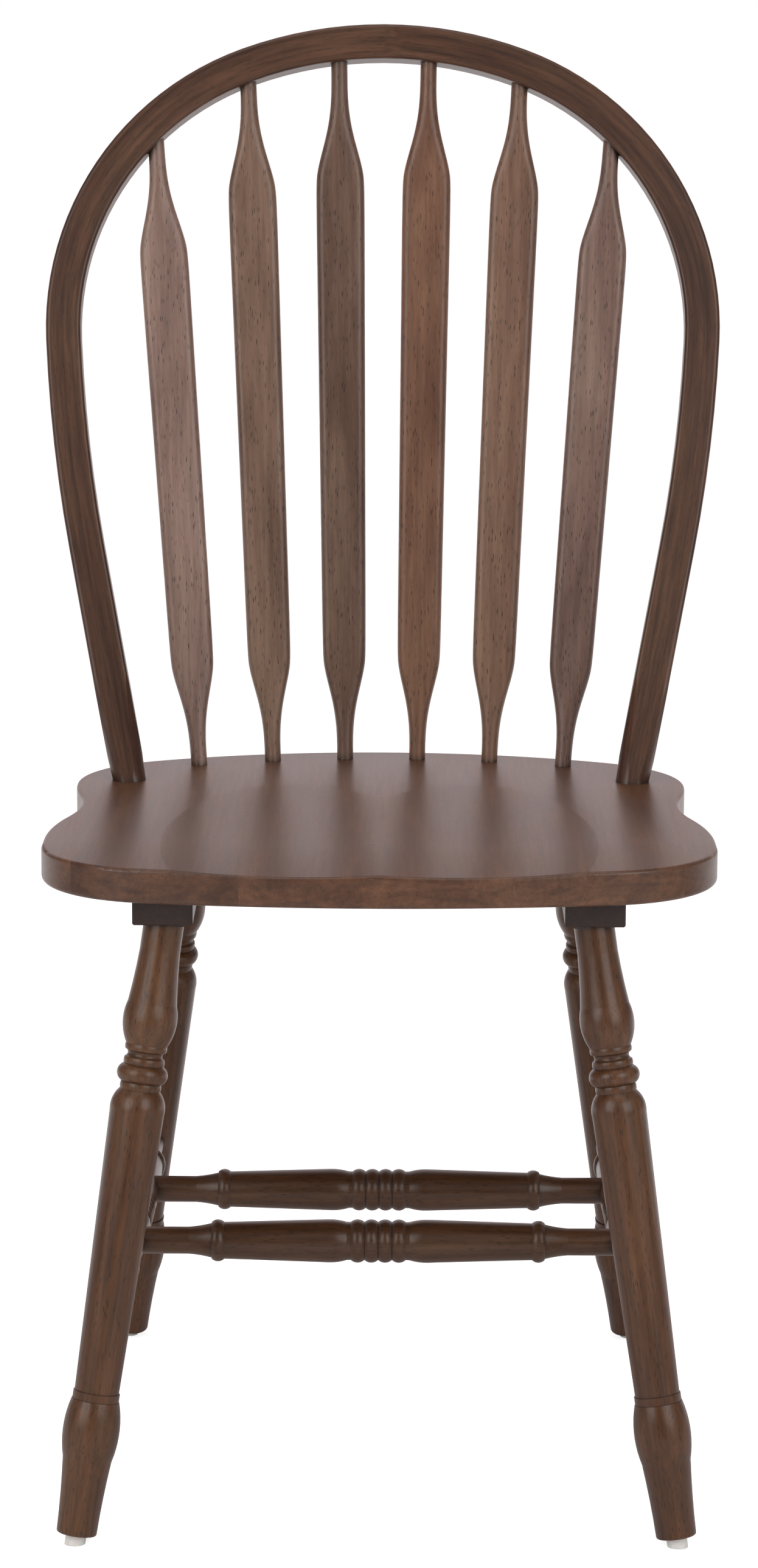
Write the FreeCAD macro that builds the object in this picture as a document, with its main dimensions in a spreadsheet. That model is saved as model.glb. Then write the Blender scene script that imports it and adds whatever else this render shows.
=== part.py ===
import FreeCAD, Part
import math
import os
import Sketcher

# Arrow-back side chair in stained rubberwood, in millimetres.
# +X is the right hand side seen from the front, +Y points to the back and +Z up.
# The origin lies on the floor in the middle of the chair's width and depth.

os.makedirs("parts", exist_ok=True)
doc = FreeCAD.newDocument("arrow_back_chair")
V = FreeCAD.Vector

# Driving sizes. A depth is measured backwards from the middle of the seat's front edge and a
# setback forwards from the middle of its rear edge. A cutting shape runs past the faces that it
# opens by the overrun.
SIZES = {
    # The whole chair
    "origin_depth": 233.94,
    "glue_gap": 0.1,
    "cut_overrun": 8.0,
    "seat_height": 450.0,
    # Seat panel: seven tangent arcs from the middle of the front to the middle of the back
    "seat_thickness": 23.0,
    "seat_depth": 438.5,
    "seat_half_width": 223.0,
    "front_corner_radius": 84.5,
    "widest_setback": 341.5,
    "side_straight": 21.0,
    "side_radius": 260.0,
    "side_turn": 16.4,
    "notch_radius": 172.0,
    "notch_turn": 12.0,
    "lobe_radius": 197.0,
    "rear_corner_radius": 94.0,
    "seat_top_round": 2.5,
    "seat_bottom_round": 3.5,
    "saddle_deep": 3.7,
    "saddle_half_width": 85.0,
    "saddle_half_length": 200.0,
    "saddle_spacing": 60.0,
    "saddle_depth_place": 110.0,
    "saddle_bowl_height": 60.0,
    # Bow: square bar bent in one plane that leans back
    "bow_setback": 111.5,
    "bow_recline": 13.5,
    "bow_width": 24.6,
    "bow_thickness": 22.0,
    "bow_edge_round": 3.0,
    "bow_foot_spread": 177.5,
    "bow_flare": 10.7,
    "bow_leg_length": 167.3,
    "bow_side_radius": 1076.0,
    "bow_side_turn": 7.9,
    "bow_shoulder_radius": 198.0,
    "bow_crown_radius": 280.0,
    "bow_tenon_diameter": 23.0,
    "bow_tenon_depth": 16.0,
    "tongue_length": 82.0,
    "tongue_top_diameter": 31.4,
    # Spindles: round ends and a flat arrow-shaped paddle
    "spindle_neck": 11.6,
    "spindle_seat_depth": 14.0,
    "spindle_bow_depth": 12.0,
    "paddle_top_width": 34.8,
    "paddle_bottom_width": 31.2,
    "paddle_thickness": 10.4,
    "paddle_edge_width": 4.7,
    "paddle_edge_soft": 1.0,
    "inner_upper_neck": 10.0,
    "middle_upper_neck": 3.0,
    "outer_upper_neck": 3.0,
    "upper_flare_length": 76.0,
    "lower_neck_length": 4.0,
    "lower_flare_length": 72.0,
    "inner_spindle_foot": 26.0,
    "middle_spindle_foot": 78.0,
    "outer_spindle_foot": 130.5,
    "inner_spindle_head": 31.8,
    "middle_spindle_head": 96.4,
    "outer_spindle_head": 161.6,
    "inner_spindle_setback": 26.5,
    "middle_spindle_setback": 34.5,
    "outer_spindle_setback": 52.0,
    "inner_spindle_turn": 2.0,
    "middle_spindle_turn": 5.0,
    "outer_spindle_turn": 9.0,
    # Cleats under the seat
    "cleat_width": 39.4,
    "cleat_thickness": 19.5,
    "cleat_front_depth": 39.0,
    "cleat_rear_setback": 41.5,
    "cleat_inner_face": 121.0,
    "cleat_chamfer": 1.0,
    # Legs: where each axis meets the cleat's underside, and its lean
    "front_leg_spread": 140.2,
    "front_leg_depth": 57.6,
    "front_leg_lean_out": 8.1,
    "front_leg_lean_forward": 7.8,
    "rear_leg_spread": 136.5,
    "rear_leg_setback": 59.0,
    "rear_leg_lean_out": 7.2,
    "rear_leg_lean_back": 12.1,
    "foot_height": 6.4,
    # Leg turning, from the square-cut top downwards
    "leg_top_diameter": 26.6,
    "vase_start_drop": 17.9,
    "vase_waist_drop": 52.5,
    "vase_waist_diameter": 32.4,
    "vase_hollow": 0.35,
    "vase_foot_drop": 79.9,
    "vase_foot_diameter": 27.2,
    "vase_swell": 2.85,
    "vase_ring_length": 4.0,
    "vase_ring_diameter": 27.0,
    "neck_length": 5.0,
    "neck_hollow": 1.9,
    "upper_ring_length": 4.4,
    "upper_ring_diameter": 26.4,
    "ring_swell": 0.35,
    "bead_length": 12.0,
    "bead_edge_diameter": 26.0,
    "bead_swell": 3.8,
    "lower_ring_length": 4.6,
    "lower_ring_diameter": 26.6,
    "shoulder_length": 15.0,
    "shoulder_diameter": 36.0,
    "shoulder_swell": 1.8,
    # Leg turning, from the floor end upwards
    "sole_diameter": 23.6,
    "sole_rise": 1.6,
    "sole_swell": 0.45,
    "foot_diameter": 26.6,
    "foot_taper_rise": 50.0,
    "foot_taper_diameter": 32.4,
    "foot_taper_hollow": 0.45,
    "foot_bulb_rise": 89.6,
    "foot_bulb_diameter": 31.6,
    "foot_bulb_swell": 2.7,
    "collar_height": 5.5,
    "collar_diameter": 30.8,
    "shaft_bottom_diameter": 29.4,
    # Stretchers, all turned to one pattern about their middle
    "stretcher_height": 160.4,
    "cross_spacing": 65.5,
    "stretcher_bead_length": 9.4,
    "stretcher_groove_diameter": 26.0,
    "stretcher_bead_swell": 1.8,
    "stretcher_cove_length": 2.7,
    "stretcher_cove_diameter": 26.2,
    "stretcher_swell_reach": 34.0,
    "stretcher_swell_diameter": 29.5,
    "stretcher_swell": 0.5,
    "stretcher_ring_diameter": 25.2,
    "stretcher_ring_length": 8.7,
    "stretcher_ring_swell": 1.75,
    "stretcher_flare_diameter": 23.6,
    "stretcher_flare_length": 15.6,
    "stretcher_flare_hollow": 0.35,
    "stretcher_end_diameter": 18.5,
    "cross_ring_half_span": 109.5,
    "side_ring_half_span": 131.0,
    "side_tenon_past_axis": 3.0,
    "cross_tenon_short_of_axis": 3.5,
    # Glides and hardware
    "glide_diameter": 13.6,
    "glide_nail_cover": 2.6,
    "nail_diameter": 2.4,
    "nail_length": 15.0,
    "nail_head_diameter": 6.0,
    "nail_head_thickness": 1.2,
    "bolt_diameter": 8.0,
    "bolt_in_leg": 34.0,
    "bolt_in_cleat": 15.0,
    "insert_diameter": 11.0,
    "insert_length": 14.0,
    "insert_setback": 1.4,
    "screw_diameter": 4.5,
    "screw_head_diameter": 9.0,
    "screw_head_depth": 3.0,
    "screw_recess": 2.0,
    "screw_in_seat": 14.0,
    "screw_end_margin": 46.0,
}

# Differences smaller than this count as none
TOUCH = 0.001
SCREWS_PER_CLEAT = 4

sheet = doc.addObject("Spreadsheet::Sheet", "sizes")
for row, (name, value) in enumerate(SIZES.items(), 1):
    sheet.set(f"A{row}", name)
    sheet.set(f"B{row}", str(value))
    sheet.setAlias(f"B{row}", name)
doc.recompute()


def size(name):
    """A driving size, read from the sheet."""
    return float(sheet.get(name))


def sine(degrees):
    return math.sin(math.radians(degrees))


def cosine(degrees):
    return math.cos(math.radians(degrees))


def at_depth(x, depth, z):
    """A point of the chair from its depth behind the seat's front edge."""
    return V(x, depth - size("origin_depth"), z)


def from_rear(setback):
    """The depth of a place given by its setback from the seat's rear edge."""
    return size("seat_depth") - size(setback)


def plane(body, role):
    return next(item for item in body.Origin.OriginFeatures if item.Role == role)


def new_sketch(body, name, role):
    sketch = body.newObject("Sketcher::SketchObject", name)
    sketch.AttachmentSupport = [(plane(body, role), "")]
    sketch.MapMode = "FlatFace"
    return sketch


def pin(sketch, edge, end, point):
    """Holds one end of an edge at its place in the sketch."""
    if abs(point.x) < TOUCH:
        sketch.addConstraint(Sketcher.Constraint("PointOnObject", edge, end, -2))
    else:
        sketch.addConstraint(Sketcher.Constraint("DistanceX", -1, 1, edge, end, point.x))
    if abs(point.y) < TOUCH:
        sketch.addConstraint(Sketcher.Constraint("PointOnObject", edge, end, -1))
    else:
        sketch.addConstraint(Sketcher.Constraint("DistanceY", -1, 1, edge, end, point.y))


def arc_between(circle, low, high):
    """The anticlockwise arc of a circle from low to high."""
    toward_low = low.sub(circle.Center)
    toward_high = high.sub(circle.Center)
    begin = math.atan2(toward_low.y, toward_low.x)
    end = math.atan2(toward_high.y, toward_high.x)
    if end < begin:
        end += 2 * math.pi
    round_line = Part.Circle(circle.Center, V(0, 0, 1), circle.Radius)
    return Part.ArcOfCircle(round_line, begin, end)


def draw_chain(sketch, points, middles, closed=True):
    """Draws lines, or arcs where a middle point is given, joined end to end."""
    count = len(points) if closed else len(points) - 1
    ends = []
    for index in range(count):
        start = points[index]
        finish = points[(index + 1) % len(points)]
        middle = middles[index]
        if middle is None:
            edge = sketch.addGeometry(Part.LineSegment(start, finish), False)
            ends.append((edge, 1, 2))
            continue
        # A sketch keeps its arcs anticlockwise, so a clockwise one is drawn from its far end
        circle = Part.Circle(start, middle, finish)
        anticlockwise = middle.sub(start).cross(finish.sub(middle)).z > 0
        low, high = (start, finish) if anticlockwise else (finish, start)
        edge = sketch.addGeometry(arc_between(circle, low, high), False)
        ends.append((edge, 1, 2) if anticlockwise else (edge, 2, 1))
    for index in range(count if closed else count - 1):
        edge, _, last = ends[index]
        following, first, _ = ends[(index + 1) % count]
        sketch.addConstraint(Sketcher.Constraint("Coincident", edge, last, following, first))
    for index in range(count):
        edge, first, last = ends[index]
        pin(sketch, edge, first, points[index])
        if middles[index] is not None:
            radius = sketch.Geometry[edge].Radius
            sketch.addConstraint(Sketcher.Constraint("Radius", edge, radius))
    if not closed:
        edge, _, last = ends[-1]
        pin(sketch, edge, last, points[-1])
    return ends


def bulged(start, finish, swell):
    """The middle point of an arc that stands out from its chord by swell."""
    chord = finish.sub(start)
    outward = V(-chord.y, chord.x, 0).normalize()
    return start.add(finish).multiply(0.5).add(outward.multiply(swell))


def turned(name, stations):
    """A turned body along +Z. A station is a height, the sheet's diameter name and the swell
    of the arc that leads to the next station, zero for a straight run."""
    body = doc.addObject("PartDesign::Body", name)
    sketch = new_sketch(body, name + "_profile", "XZ_Plane")
    points = [V(size(diameter) / 2, height, 0) for height, diameter, _ in stations]
    swells = [swell for _, _, swell in stations[:-1]]
    middles = []
    for index, swell in enumerate(swells):
        if swell:
            middles.append(bulged(points[index], points[index + 1], -swell))
        else:
            middles.append(None)
    points += [V(0, points[-1].y, 0), V(0, points[0].y, 0)]
    middles += [None, None, None]
    draw_chain(sketch, points, middles)
    bound = 0
    for index, constraint in enumerate(sketch.Constraints):
        if constraint.Type == "DistanceX" and bound < len(stations):
            sketch.renameConstraint(index, f"radius_{bound}")
            sketch.setExpression(f"Constraints.radius_{bound}", f"sizes.{stations[bound][1]} / 2")
            bound += 1
    turning = body.newObject("PartDesign::Revolution", name + "_turning")
    turning.Profile = sketch
    turning.ReferenceAxis = (sketch, ["V_Axis"])
    turning.Angle = 360.0
    sketch.Visibility = False
    body.Tip = turning
    return body


def along(start, direction):
    """A placement at start whose Z axis points along direction."""
    return FreeCAD.Placement(start, FreeCAD.Rotation(V(0, 0, 1), direction))


def rod(name, start, direction, diameter, length, extra="0"):
    """A cylinder bound to the sheet, with an allowance added to its radius."""
    cylinder = doc.addObject("Part::Cylinder", name)
    cylinder.setExpression("Radius", f"sizes.{diameter} / 2 + {extra}")
    cylinder.Height = length
    cylinder.Placement = along(start, direction)
    return cylinder


def cut(name, base, tools):
    """Base with every tool taken away."""
    if len(tools) == 1:
        tool = tools[0]
    else:
        tool = doc.addObject("Part::MultiFuse", name + "_sockets")
        tool.Shapes = tools
    result = doc.addObject("Part::Cut", name + "_part")
    result.Base = base
    result.Tool = tool
    return result


nodes = []


def keep(item, label):
    item.Label = label
    nodes.append(item)
    return item


# Hoop curve in the bow's own plane: a straight leg, a long side arc, a shoulder and the crown
def hoop_curve():
    flare = size("bow_flare")
    heading = V(sine(flare), cosine(flare), 0)
    foot = V(size("bow_foot_spread"), 0, 0)
    leg_end = foot.add(heading * size("bow_leg_length"))
    side_radius = size("bow_side_radius")
    side_centre = leg_end.add(V(-cosine(flare), sine(flare), 0) * side_radius)
    turned_to = flare - size("bow_side_turn")
    side_end = side_centre.add(V(cosine(turned_to), -sine(turned_to), 0) * side_radius)
    half_way = flare - size("bow_side_turn") / 2
    side_middle = side_centre.add(V(cosine(half_way), -sine(half_way), 0) * side_radius)
    shoulder_radius = size("bow_shoulder_radius")
    shoulder_centre = side_end.add(V(-cosine(turned_to), sine(turned_to), 0) * shoulder_radius)
    crown_radius = size("bow_crown_radius")
    drop = math.sqrt((crown_radius - shoulder_radius) ** 2 - shoulder_centre.x ** 2)
    crown_centre = V(0, shoulder_centre.y - drop, 0)
    toward = shoulder_centre.sub(crown_centre).normalize()
    crown_end = crown_centre.add(toward * crown_radius)
    crown_half = V(toward.x, toward.y + 1, 0).normalize()
    crown_middle = crown_centre.add(crown_half * crown_radius)
    shoulder_out = side_end.sub(shoulder_centre).normalize()
    shoulder_half = shoulder_out.add(toward).normalize()
    shoulder_middle = shoulder_centre.add(shoulder_half * shoulder_radius)
    return {
        "heading": heading, "foot": foot, "leg_end": leg_end,
        "side_middle": side_middle, "side_end": side_end,
        "shoulder_centre": shoulder_centre, "shoulder_middle": shoulder_middle,
        "crown_centre": crown_centre, "crown_end": crown_end, "crown_middle": crown_middle,
        "crown_top": crown_centre.add(V(0, crown_radius, 0)), "crown_direction": toward,
    }


hoop = hoop_curve()
bow_frame = FreeCAD.Placement(at_depth(0, from_rear("bow_setback"), size("seat_height")),
                              FreeCAD.Rotation(V(1, 0, 0), -size("bow_recline")))


def hoop_underside(x):
    """Height in the bow's plane of its inner edge above a distance x from the middle."""
    half = size("bow_width") / 2
    crown_reach = (size("bow_crown_radius") - half) * hoop["crown_direction"].x
    if abs(x) <= crown_reach:
        return hoop["crown_centre"].y + math.sqrt((size("bow_crown_radius") - half) ** 2 - x * x)
    inner_radius = size("bow_shoulder_radius") - half
    across = abs(x) - hoop["shoulder_centre"].x
    return hoop["shoulder_centre"].y + math.sqrt(inner_radius ** 2 - across ** 2)


# Spindle places: foot on the seat and head on the bow's inner edge
def spindle_axes():
    """For each spindle its foot, its head, its turn about its own axis and its upper neck."""
    axes = []
    for side, name in ((-1, "outer"), (-1, "middle"), (-1, "inner"),
                       (1, "inner"), (1, "middle"), (1, "outer")):
        foot = at_depth(side * size(name + "_spindle_foot"),
                        from_rear(name + "_spindle_setback"), size("seat_height"))
        across = side * size(name + "_spindle_head")
        head = bow_frame.multVec(V(across, 0, hoop_underside(across)))
        axes.append((foot, head, side * size(name + "_spindle_turn"),
                     size(name + "_upper_neck")))
    return axes


spindles = spindle_axes()


# Leg places: the axis from the foot's middle up to the leg's cut top
def leg_axis(side, front):
    end = "front" if front else "rear"
    lean_out = math.tan(math.radians(size(end + "_leg_lean_out")))
    if front:
        depth = size("front_leg_depth")
        lean_along = -math.tan(math.radians(size("front_leg_lean_forward")))
    else:
        depth = from_rear("rear_leg_setback")
        lean_along = math.tan(math.radians(size("rear_leg_lean_back")))
    cleat_bottom = size("seat_height") - size("seat_thickness") - size("cleat_thickness")
    meeting = at_depth(side * size(end + "_leg_spread"), depth, cleat_bottom)
    down = V(side * lean_out, lean_along, -1)
    slant = down.Length
    upright = 1 / slant
    tilt = math.sqrt(1 - upright ** 2)
    rim_rise = size("leg_top_diameter") / 2 * tilt + size("glue_gap")
    top = meeting.add(down * rim_rise)
    foot = meeting.add(down * (cleat_bottom - size("foot_height")))
    up = V(-down.x, -down.y, 1).normalize()
    return {"foot": foot, "top": top, "up": up, "length": top.sub(foot).Length,
            "meeting": meeting, "down": down}


LEGS = (("front_left_leg", -1, True), ("front_right_leg", 1, True),
        ("rear_left_leg", -1, False), ("rear_right_leg", 1, False))
legs = {name: leg_axis(side, front) for name, side, front in LEGS}


def on_leg(name, height):
    """The point of a leg's axis at a height above the floor."""
    leg = legs[name]
    return leg["foot"].add(leg["up"] * ((height - leg["foot"].z) / leg["up"].z))


# Stretcher places: side stretchers from leg axis to leg axis, cross stretchers between those
def stretcher_lines():
    height = size("stretcher_height")
    lines = {}
    for side, word in ((-1, "left"), (1, "right")):
        lines[word] = (on_leg(f"front_{word}_leg", height), on_leg(f"rear_{word}_leg", height))
    return lines


side_lines = stretcher_lines()


def on_side(word, from_middle):
    """The point of a side stretcher's axis at a distance behind its middle."""
    start, finish = side_lines[word]
    direction = finish.sub(start).normalize()
    return start.add(finish).multiply(0.5).add(direction * from_middle)


# Seat: an edge-glued panel sawn to shape, scooped in two shallow hollows
def front_arc_radius(centre, corner):
    """Radius of the arc through the origin, tangent to the corner's circle from outside."""
    return (centre.x ** 2 + centre.y ** 2 - corner ** 2) / (2 * (centre.y - corner))


def seat_outline():
    """Points and arc middles of the right half, from the front's middle to the back's."""
    widest = size("seat_half_width")
    corner = size("front_corner_radius")
    corner_centre = V(widest - corner, from_rear("widest_setback"), 0)
    # The front arc runs inside the corner arc's circle until the two are tangent
    front = front_arc_radius(corner_centre, corner)
    front_centre = V(0, front, 0)
    away = corner_centre.sub(front_centre).normalize()
    points = [V(0, 0, 0), front_centre.add(away * front)]
    middles = [front_centre.add(V(away.x / 2, -math.sqrt(1 - away.x ** 2 / 4), 0) * front)]
    corner_side = V(widest, corner_centre.y, 0)
    half = V(away.x + 1, away.y, 0).normalize()
    middles.append(corner_centre.add(half * corner))
    points.append(corner_side)
    middles.append(None)
    side_start = corner_side.add(V(0, size("side_straight"), 0))
    points.append(side_start)
    radius = size("side_radius")
    turn = size("side_turn")
    side_centre = side_start.sub(V(radius, 0, 0))
    middles.append(side_centre.add(V(cosine(turn / 2), sine(turn / 2), 0) * radius))
    side_end = side_centre.add(V(cosine(turn), sine(turn), 0) * radius)
    points.append(side_end)
    notch = size("notch_radius")
    notch_centre = side_end.add(V(cosine(turn), sine(turn), 0) * notch)
    back_turn = size("notch_turn")
    swing = (turn - back_turn) / 2
    middles.append(notch_centre.sub(V(cosine(swing), sine(swing), 0) * notch))
    notch_end = notch_centre.sub(V(cosine(back_turn), -sine(back_turn), 0) * notch)
    points.append(notch_end)
    lobe = size("lobe_radius")
    lobe_centre = notch_end.sub(V(cosine(back_turn), -sine(back_turn), 0) * lobe)
    middles.append(lobe_centre.add(V(cosine(back_turn / 2), -sine(back_turn / 2), 0) * lobe))
    lobe_side = lobe_centre.add(V(lobe, 0, 0))
    points.append(lobe_side)
    rear = size("rear_corner_radius")
    rear_centre = lobe_side.sub(V(rear, 0, 0))
    depth = size("seat_depth")
    gap = depth - rear_centre.y
    back = (rear ** 2 - rear_centre.x ** 2 - gap ** 2) / (2 * (rear - gap))
    back_centre = V(0, depth - back, 0)
    away = rear_centre.sub(back_centre).normalize()
    half = V(away.x + 1, away.y, 0).normalize()
    middles.append(rear_centre.add(half * rear))
    points.append(back_centre.add(away * back))
    middles.append(back_centre.add(V(away.x / 2, math.sqrt(1 - away.x ** 2 / 4), 0) * back))
    points.append(V(0, depth, 0))
    return points, middles


def make_seat():
    body = doc.addObject("PartDesign::Body", "seat_panel")
    body.Placement = FreeCAD.Placement(
        at_depth(0, 0, size("seat_height") - size("seat_thickness")), FreeCAD.Rotation())
    outline = new_sketch(body, "seat_outline", "XY_Plane")
    right, right_middles = seat_outline()
    left = [V(-point.x, point.y, 0) for point in reversed(right[1:-1])]
    left_middles = [middle and V(-middle.x, middle.y, 0) for middle in reversed(right_middles)]
    draw_chain(outline, right + left, right_middles + left_middles)
    pad = body.newObject("PartDesign::Pad", "seat_pad")
    pad.Profile = outline
    pad.setExpression("Length", "sizes.seat_thickness")
    outline.Visibility = False
    doc.recompute()
    bowl_height = size("saddle_bowl_height")
    lift = bowl_height - size("saddle_deep")
    spread = 1 / math.sqrt(1 - (lift / bowl_height) ** 2)
    tip = pad
    for side, word in ((-1, "left"), (1, "right")):
        hollow = body.newObject("PartDesign::SubtractiveEllipsoid", word + "_hollow")
        hollow.setExpression("Radius1", "sizes.saddle_bowl_height")
        hollow.Radius2 = size("saddle_half_width") * spread
        hollow.Radius3 = size("saddle_half_length") * spread
        hollow.AttachmentSupport = [(plane(body, "XY_Plane"), "")]
        hollow.MapMode = "FlatFace"
        hollow.AttachmentOffset = FreeCAD.Placement(
            V(side * size("saddle_spacing"), size("saddle_depth_place"),
              size("seat_thickness") + lift), FreeCAD.Rotation())
        tip = hollow
        doc.recompute()
    body.Tip = tip
    rounded = body.newObject("PartDesign::Fillet", "seat_bottom_edge")
    rounded.Base = (tip, bottom_edges(tip.Shape))
    rounded.setExpression("Radius", "sizes.seat_bottom_round")
    doc.recompute()
    top = body.newObject("PartDesign::Fillet", "seat_top_edge")
    top.Base = (rounded, top_edges(rounded.Shape))
    top.setExpression("Radius", "sizes.seat_top_round")
    body.Tip = top
    doc.recompute()
    return body


def bottom_edges(shape):
    return [f"Edge{index}" for index, edge in enumerate(shape.Edges, 1)
            if edge.BoundBox.ZMax < TOUCH]


def top_edges(shape):
    """Edges where the upright side meets the top face or a hollow."""
    lowest = size("seat_thickness") - size("saddle_deep")
    found = []
    for index, edge in enumerate(shape.Edges, 1):
        if edge.BoundBox.ZMin < lowest:
            continue
        middle = edge.valueAt((edge.FirstParameter + edge.LastParameter) / 2)
        upright = 0
        for face in shape.Faces:
            if any(edge.isSame(other) for other in face.Edges):
                u, v = face.Surface.parameter(middle)
                upright += abs(face.normalAt(u, v).z) < TOUCH
        if upright == 1:
            found.append(f"Edge{index}")
    return found


def tenon_axis(side):
    """Foot point on the seat and the direction up the bow's straight leg."""
    heading = hoop["heading"]
    foot = bow_frame.multVec(V(side * hoop["foot"].x, 0, 0))
    direction = bow_frame.Rotation.multVec(V(side * heading.x, 0, heading.y))
    return foot, direction


def build_seat():
    panel = make_seat()
    overrun = size("cut_overrun")
    sockets = []
    for side, word in ((-1, "left"), (1, "right")):
        foot, direction = tenon_axis(side)
        deep = size("bow_tenon_depth") + size("glue_gap")
        sockets.append(rod(word + "_bow_socket", foot.sub(direction * deep), direction,
                           "bow_tenon_diameter", deep + overrun, "sizes.glue_gap"))
    for number, (foot, head, _, _) in enumerate(spindles, 1):
        direction = head.sub(foot).normalize()
        deep = size("spindle_seat_depth") + size("glue_gap")
        sockets.append(rod(f"spindle_{number}_seat_socket", foot.sub(direction * deep),
                           direction, "spindle_neck", deep + overrun, "sizes.glue_gap"))
    for word, point in cleat_screws():
        seat_bottom = size("seat_height") - size("seat_thickness")
        start = V(point.x, point.y, seat_bottom - overrun)
        sockets.append(rod(f"{word}_seat_hole", start, V(0, 0, 1), "screw_diameter",
                           overrun + size("screw_in_seat") + size("glue_gap"),
                           "sizes.glue_gap"))
    keep(cut("seat", panel, sockets), "seat")


# Cleats: two bars screwed up into the seat, which the legs bolt into
def cleat_length():
    return from_rear("cleat_rear_setback") - size("cleat_front_depth")


def cleat_box(side):
    """The corner of a cleat that is lowest, foremost and furthest left."""
    inner = size("cleat_inner_face")
    left = inner if side > 0 else -inner - size("cleat_width")
    bottom = size("seat_height") - size("seat_thickness") - size("cleat_thickness")
    return at_depth(left, size("cleat_front_depth"), bottom)


def cleat_screws():
    """Screw places, as a name and a point on the cleat's underside."""
    places = []
    for side, word in ((-1, "left"), (1, "right")):
        corner = cleat_box(side)
        middle = corner.x + size("cleat_width") / 2
        first = size("screw_end_margin")
        spacing = (cleat_length() - 2 * first) / (SCREWS_PER_CLEAT - 1)
        for number in range(SCREWS_PER_CLEAT):
            places.append((f"{word}_screw_{number + 1}",
                           V(middle, corner.y + first + spacing * number, corner.z)))
    return places


def build_cleats():
    overrun = size("cut_overrun")
    for side, word in ((-1, "left"), (1, "right")):
        body = doc.addObject("PartDesign::Body", f"{word}_cleat_bar")
        corner = cleat_box(side)
        body.Placement = FreeCAD.Placement(corner, FreeCAD.Rotation())
        bar = body.newObject("PartDesign::AdditiveBox", f"{word}_cleat_box")
        bar.setExpression("Length", "sizes.cleat_width")
        bar.setExpression("Width", "sizes.seat_depth - sizes.cleat_rear_setback"
                                   " - sizes.cleat_front_depth")
        bar.setExpression("Height", "sizes.cleat_thickness")
        doc.recompute()
        edges = [f"Edge{index}" for index, edge in enumerate(bar.Shape.Edges, 1)
                 if edge.BoundBox.ZMin < size("cleat_thickness") - TOUCH]
        chamfer = body.newObject("PartDesign::Chamfer", f"{word}_cleat_chamfer")
        chamfer.Base = (bar, edges)
        chamfer.setExpression("Size", "sizes.cleat_chamfer")
        body.Tip = chamfer
        tools = []
        for end in ("front", "rear"):
            leg = legs[f"{end}_{word}_leg"]
            start = leg["meeting"].sub(leg["up"] * overrun)
            deep = overrun + size("insert_setback") + size("insert_length") + size("glue_gap")
            tools.append(rod(f"{end}_{word}_insert_hole", start, leg["up"],
                             "insert_diameter", deep, "sizes.glue_gap"))
        for name, point in cleat_screws():
            if name.startswith(word):
                start = point.sub(V(0, 0, overrun))
                tools.append(rod(name + "_hole", start, V(0, 0, 1), "screw_diameter",
                                 size("cleat_thickness") + 2 * overrun, "sizes.glue_gap"))
                tools.append(rod(name + "_recess", start, V(0, 0, 1), "screw_head_diameter",
                                 overrun + size("screw_recess") + size("screw_head_depth"),
                                 "sizes.glue_gap"))
        keep(cut(f"{word}_seat_cleat", body, tools), f"{word}_seat_cleat")


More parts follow.
